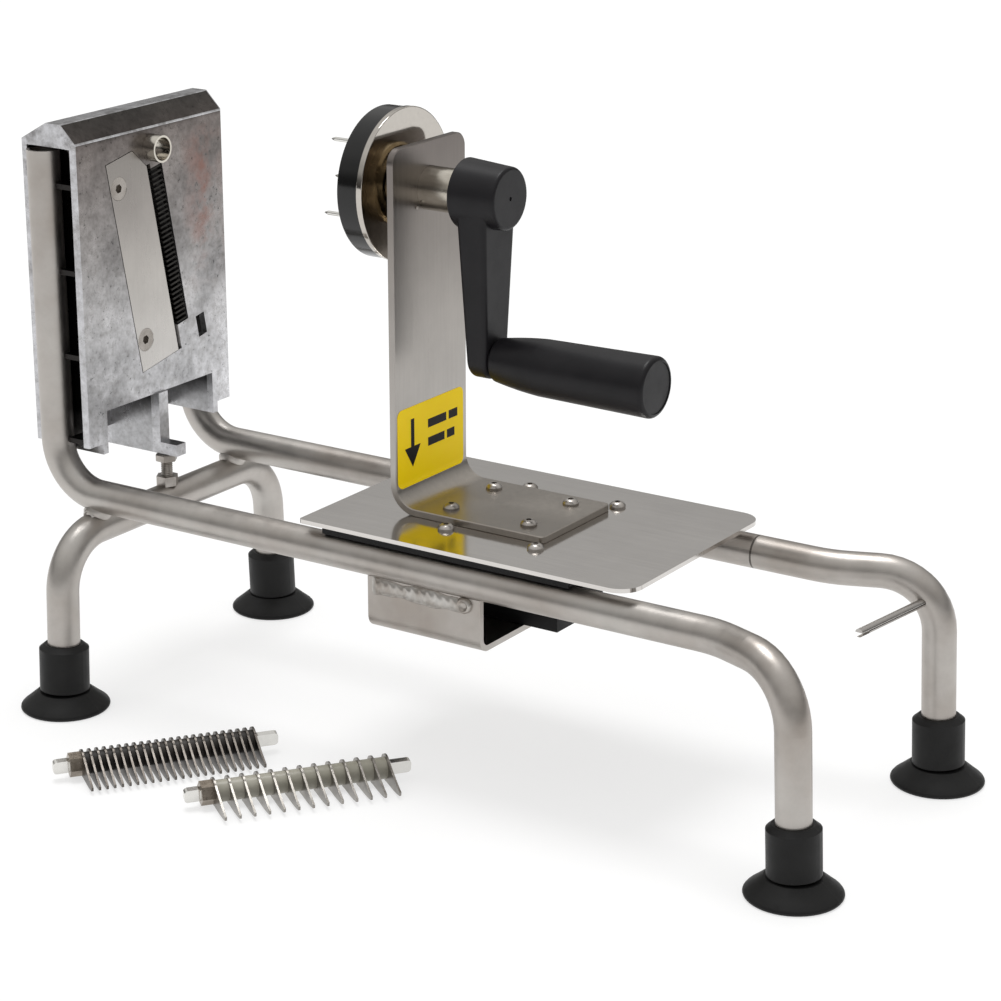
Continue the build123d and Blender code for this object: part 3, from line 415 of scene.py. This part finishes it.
def mirror_plate(name, colour, rough=(0.10, 0.17)):
    """Polished sheet with faint rolling lines."""
    n = Nodes(name)
    n.set(Metallic=1.0)
    lines = n.noise(420, 4, 0.7, LONGER_X)
    pale = tuple(c * 1.06 for c in colour)
    tone = n.ramp(n.noise(18, 4, 0.6), (0.3, colour), (0.7, pale))
    n.link(n.times(tone, n.ramp(lines, (0.3, 0.93), (0.7, 1.0))), "Base Color")
    n.link(n.ramp(n.noise(60, 5, 0.6), (0.3, rough[0]), (0.7, rough[1])), "Roughness")
    n.link(n.bump(lines, 0.08, 0.02 * MM), "Normal")
    return n.material


def moulded(name, dark, light, rough, grain=1500, depth=0.3, shine=0.28):
    """Moulded plastic or rubber with a spark-eroded grain and handling marks."""
    n = Nodes(name)
    n.set(IOR=1.46, Specular_IOR_Level=shine)
    n.link(n.ramp(n.noise(30, 4, 0.6), (0.35, dark), (0.7, light)), "Base Color")
    n.link(n.ramp(n.noise(80, 5, 0.7), (0.3, rough[0]), (0.7, rough[1])), "Roughness")
    marks = n.bump(n.noise(160, 2, 0.5), 0.15, 0.1 * MM)
    n.link(n.bump(n.noise(grain, 3, 0.6), depth, 0.06 * MM, marks), "Normal")
    return n.material


def heat_tint():
    """Weld metal: silvery ridges with straw and blue-brown heat colours."""
    n = Nodes("heat_tint")
    n.set(Metallic=1.0)
    brown, straw, silver = (0.33, 0.29, 0.255), (0.46, 0.435, 0.405), (0.56, 0.545, 0.52)
    n.link(n.ramp(n.noise(130, 4, 0.6), (0.3, brown), (0.5, straw), (0.7, silver)), "Base Color")
    n.link(n.ramp(n.noise(300, 3, 0.6), (0.3, 0.30), (0.7, 0.44)), "Roughness")
    n.link(n.bump(n.noise(500, 4, 0.6), 0.3, 0.2 * MM), "Normal")
    return n.material


def vinyl(name, colour, shade, painted_glow=0.0):
    """Printed sticker film, very slightly uneven; the last argument is a painted glow in the film's own
    colour.
    """
    n = Nodes(name)
    n.set(IOR=1.45, Specular_IOR_Level=0.12, Emission_Color=(*colour, 1), Emission_Strength=painted_glow)
    n.link(n.ramp(n.noise(45, 4, 0.6), (0.3, shade), (0.7, colour)), "Base Color")
    n.link(n.ramp(n.noise(140, 3, 0.6), (0.3, 0.28), (0.7, 0.38)), "Roughness")
    n.link(n.bump(n.noise(90, 3, 0.5), 0.1, 0.08 * MM), "Normal")
    return n.material


def slot_materials():
    """One material for every material slot of the CAD."""
    return {
        "steel_tube": satin_tube(),
        "steel_plate": mirror_plate("plate_steel", (0.66, 0.635, 0.61)),
        "steel_bracket": bracket_steel(),
        "bright_steel": mirror_plate("bright_steel", (0.74, 0.73, 0.70), (0.12, 0.24)),
        "cast_aluminium": casting(),
        "blade_steel": blade_steel(),
        "screw_steel": brushed("screw_steel", (0.34, 0.31, 0.28), (0.54, 0.51, 0.48), (0.28, 0.40),
                               **SCREW_GRAIN),
        "bronze": brushed("bronze", (0.50, 0.38, 0.22), (0.66, 0.52, 0.32), (0.16, 0.30), LONG_X),
        "black_plastic": moulded("black_plastic", (0.008, 0.0075, 0.009), (0.014, 0.013, 0.015),
                                 (0.34, 0.46)),
        "block_plastic": moulded("block_plastic", (0.005, 0.005, 0.0055), (0.010, 0.010, 0.0105),
                                 (0.45, 0.6)),
        "black_rubber": moulded("black_rubber", (0.006, 0.006, 0.006), (0.012, 0.012, 0.012), (0.40, 0.55),
                                grain=900),
        "dark_spacer": moulded("dark_spacer", (0.030, 0.027, 0.024), (0.07, 0.062, 0.055), (0.4, 0.55)),
        "milky_spacer": moulded("milky_spacer", (0.34, 0.325, 0.265), (0.52, 0.50, 0.43), (0.22, 0.36),
                                shine=0.5),
        # painted light: the yellow label glows a little
        "label": vinyl("label_yellow", (0.92, 0.66, 0.003), (0.87, 0.61, 0.002), painted_glow=0.22),
    }


def node_materials():
    """Materials of the nodes that look different from the rest of their slot."""
    nut_steel = brushed("nut_steel", (0.24, 0.20, 0.16), (0.42, 0.37, 0.31), (0.22, 0.36), **SCREW_GRAIN)
    return {
        "coring_tube": mirror_plate("coring_nickel", (0.62, 0.585, 0.52), (0.14, 0.24)),
        "bearing_sleeve": brushed("sleeve_steel", (0.50, 0.46, 0.39), (0.66, 0.62, 0.545), (0.18, 0.28),
                                  LONG_X),
        "backing_disc": mirror_plate("disc_steel", (0.52, 0.49, 0.45), (0.07, 0.12)),
        "prong_disc": moulded("disc_black", (0.004, 0.004, 0.004), (0.008, 0.008, 0.008), (0.10, 0.2),
                              grain=900, depth=0.08, shine=0.5),
        **{f"{comb}_nut": nut_steel for comb in ("fitted_comb", "fine_comb", "coarse_comb")},
        "blade_screws": brushed("blade_screws", (0.26, 0.235, 0.21), (0.42, 0.39, 0.36), (0.22, 0.34),
                                **SCREW_GRAIN),
        "split_pin": mirror_plate("pin_steel", (0.46, 0.44, 0.42), (0.2, 0.3)),
        "fitted_comb_teeth": brushed("fitted_teeth", (0.020, 0.019, 0.018), (0.045, 0.042, 0.038),
                                     (0.3, 0.45)),
        "fitted_comb_spacers": moulded("fitted_spacer", (0.006, 0.006, 0.006), (0.012, 0.011, 0.010),
                                       (0.4, 0.55)),
        "fine_comb_teeth": brushed("fine_teeth", (0.085, 0.075, 0.066), (0.17, 0.155, 0.14), (0.28, 0.42)),
        "coarse_comb_teeth": brushed("coarse_teeth", (0.24, 0.225, 0.205), (0.40, 0.38, 0.355), (0.24, 0.38)),
    }


def paint_nodes(slots, special):
    """One material for every CAD node: its own, or its slot's."""
    for part in frame["record"]["subparts"]:
        node = frame["nodes"][part["node"]]
        node.data.materials.clear()
        node.data.materials.append(special.get(part["node"], slots[part["material_slot"]]))


# ------------------------------------------------------------------ pieces made here
def piece(name, body, material, mesh, smooth=True):
    """A finished mesh as an object that rides on a CAD body."""
    mesh.materials.append(material)
    for polygon in mesh.polygons:
        polygon.use_smooth = smooth
    made = bpy.data.objects.new(name, mesh)
    bpy.context.scene.collection.objects.link(made)
    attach(made, body)
    return made


def grid_mesh(name, rows):
    """Mesh through equal rows of points."""
    width = len(rows[0])
    faces = [(r * width + c, r * width + c + 1, (r + 1) * width + c + 1, (r + 1) * width + c)
             for r in range(len(rows) - 1) for c in range(width - 1)]
    mesh = bpy.data.meshes.new(name)
    mesh.from_pydata([p for row in rows for p in row], [], faces)
    return mesh


def crater(name, at, side, material, size=1.0):
    """Round end of a weld run, with a sunk middle, facing outwards on side."""
    place = Matrix.Translation(at) @ Matrix.Rotation(side * math.radians(-90), 4, "X")
    unit = MM * size
    rows = []
    for k in range(CRATER_STEPS + 1):
        a = 2 * math.pi * k / CRATER_STEPS
        lump = 1 + CRATER_WOBBLE * (math.sin(3 * a + 1) + 0.5 * math.sin(7 * a))
        rows.append([place @ Vector((r * unit * lump * math.cos(a), r * unit * lump * math.sin(a), h * unit))
                     for r, h in CRATER_PROFILE])
    mesh = grid_mesh(name, rows)
    mesh.flip_normals()
    return piece(name, "frame", material, mesh)


def keeper_beads(weld):
    """Rippled weld runs where the keeper's flanges meet the rails."""
    low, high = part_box("keeper_welds")
    keeper_low, keeper_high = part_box("keeper")
    x0, x1 = low.x + 3 * MM, high.x - 6.5 * MM
    top = keeper_high.z - 0.2 * MM
    for side, label, wall in ((-1, "near", keeper_low.y), (1, "far", keeper_high.y)):
        rows = []
        for i in range(BEAD_STEPS + 1):
            x = x0 + (x1 - x0) * i / BEAD_STEPS
            end = min(1.0, (x - x0) / (3 * MM), (x1 - x) / (2 * MM))
            swell = 1 + 0.12 * math.sin(210 * x) + 0.06 * math.sin(530 * x + 2)
            row = []
            for j in range(BEAD_ROWS + 1):
                v = -1 + 2 * j / BEAD_ROWS
                ripple = 0.5 + 0.5 * math.sin(2 * math.pi * (x + 2.2 * MM * v * v) / BEAD_PITCH)
                out = max(0.0, 1 - v * v) ** 0.6 * (1.15 + 0.30 * ripple) * MM * swell * max(0.15, end)
                row.append(Vector((x, wall + side * (out - WELD_BURIED),
                                   top - BEAD_TALL / 2 + v * BEAD_TALL / 2 * swell)))
            rows.append(row)
        mesh = grid_mesh("bead", rows)
        if side > 0:
            mesh.flip_normals()
        bead = piece(f"keeper_bead_{label}", "frame", weld, mesh)
        if side < 0:
            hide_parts("keeper_welds")
        crater(f"keeper_crater_{label}", Vector((x1 + 1.0 * MM, wall, top - 3.4 * MM)), side, weld, 1.15)


def hoop_craters(weld):
    """The stop of each saddle weld, on the crank side of the crossing."""
    low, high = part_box("hoop_welds")
    x = (low.x + high.x) / 2 - 0.5 * MM
    z = low.z + 2.4 * MM
    for side, label, y in ((-1, "near", low.y), (1, "far", high.y)):
        crater(f"hoop_crater_{label}", Vector((x, y - side * 1.5 * MM, z)), side, weld)


def thread_mesh(centre, bottom, top):
    """Screw thread as one winding strip, cut off flat at the top."""
    pitch = THREAD_PITCH
    rows = []
    for k in range(int((top - bottom) / pitch * THREAD_STEPS) + 1):
        a = 2 * math.pi * k / THREAD_STEPS
        z = bottom + pitch * k / THREAD_STEPS
        rows.append([centre + Vector((r * math.cos(a), r * math.sin(a), min(z + dz, top)))
                     for r, dz in ((THREAD_ROOT_R, -0.5 * pitch), (THREAD_CREST_R, -0.06 * pitch),
                                   (THREAD_CREST_R, 0.06 * pitch), (THREAD_ROOT_R, 0.5 * pitch))])
    return grid_mesh("thread", rows)


def hexagon_mesh(centre, bottom):
    """Hexagon head with its rims drawn in."""
    made = bmesh.new()
    rings = []
    for z, grow in ((0, 0.93), (0.35 * MM, 1.0), (HEX_TALL - 0.45 * MM, 1.0), (HEX_TALL, 0.9)):
        r = HEX_APOTHEM / math.cos(math.radians(30)) * grow
        rings.append([made.verts.new(centre + Vector((r * math.cos(a), r * math.sin(a), bottom + z)))
                      for a in (math.radians(60 * k) for k in range(6))])
    for lower, upper in zip(rings, rings[1:]):
        for k in range(6):
            made.faces.new((lower[k], lower[(k + 1) % 6], upper[(k + 1) % 6], upper[k]))
    made.faces.new(rings[-1])
    made.faces.new(list(reversed(rings[0])))
    mesh = bpy.data.meshes.new("hexagon")
    made.to_mesh(mesh)
    made.free()
    return mesh


def adjusting_screw(steel):
    """Threaded shank and chamfered head in place of the plain adjusting screw."""
    low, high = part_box("adjuster_screw")
    centre = Vector(((low.x + high.x) / 2, (low.y + high.y) / 2, 0))
    top = high.z - HEX_TALL
    shank = piece("adjuster_thread", "adjuster", steel, thread_mesh(centre, low.z, top))
    head = hexagon_mesh(centre, top)
    hexagon = piece("adjuster_head", "adjuster", steel, head, smooth=False)
    bevel = hexagon.modifiers.new("soft", "BEVEL")
    bevel.width, bevel.segments = HEX_SOFT, 2
    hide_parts("adjuster_screw")


def label_shapes():
    """Outlines of a plain arrow down to the plate and of two broken bars."""
    middle, shaft, head = ARROW_MIDDLE, ARROW_SHAFT_HALF, ARROW_HEAD_HALF
    shapes = [[(middle - shaft, ARROW_TOP), (middle - shaft, ARROW_SHOULDER), (middle - head, ARROW_SHOULDER),
               (middle, ARROW_TIP), (middle + head, ARROW_SHOULDER), (middle + shaft, ARROW_SHOULDER),
               (middle + shaft, ARROW_TOP)]]
    for height, end in BARS:
        gap = BAR_START + BAR_SHARE * (end - BAR_START)
        for start, stop in ((BAR_START, gap), (gap + BAR_BREAK, end)):
            shapes.append([(start, height + BAR_HALF), (start, height - BAR_HALF),
                           (stop, height - BAR_HALF), (stop, height + BAR_HALF)])
    return shapes


def label_print():
    """The black print on the label's face."""
    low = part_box("bracket_label")[0]
    ink = vinyl("label_ink", (0.006, 0.005, 0.004), (0.010, 0.008, 0.006))
    points, faces = [], []
    for shape in label_shapes():
        faces.append(list(range(len(points), len(points) + len(shape))))
        points += [(low.x + PRINT_LIFT, low.y + u * MM, low.z + v * MM) for u, v in shape]
    mesh = bpy.data.meshes.new("label_print")
    mesh.from_pydata(points, [], faces)
    piece("label_print", "carriage", ink, mesh, smooth=False)


camera()
studio()
materials = slot_materials()
paint_nodes(materials, node_materials())
weld_metal = heat_tint()
keeper_beads(weld_metal)
hoop_craters(weld_metal)
adjusting_screw(materials["screw_steel"])
label_print()
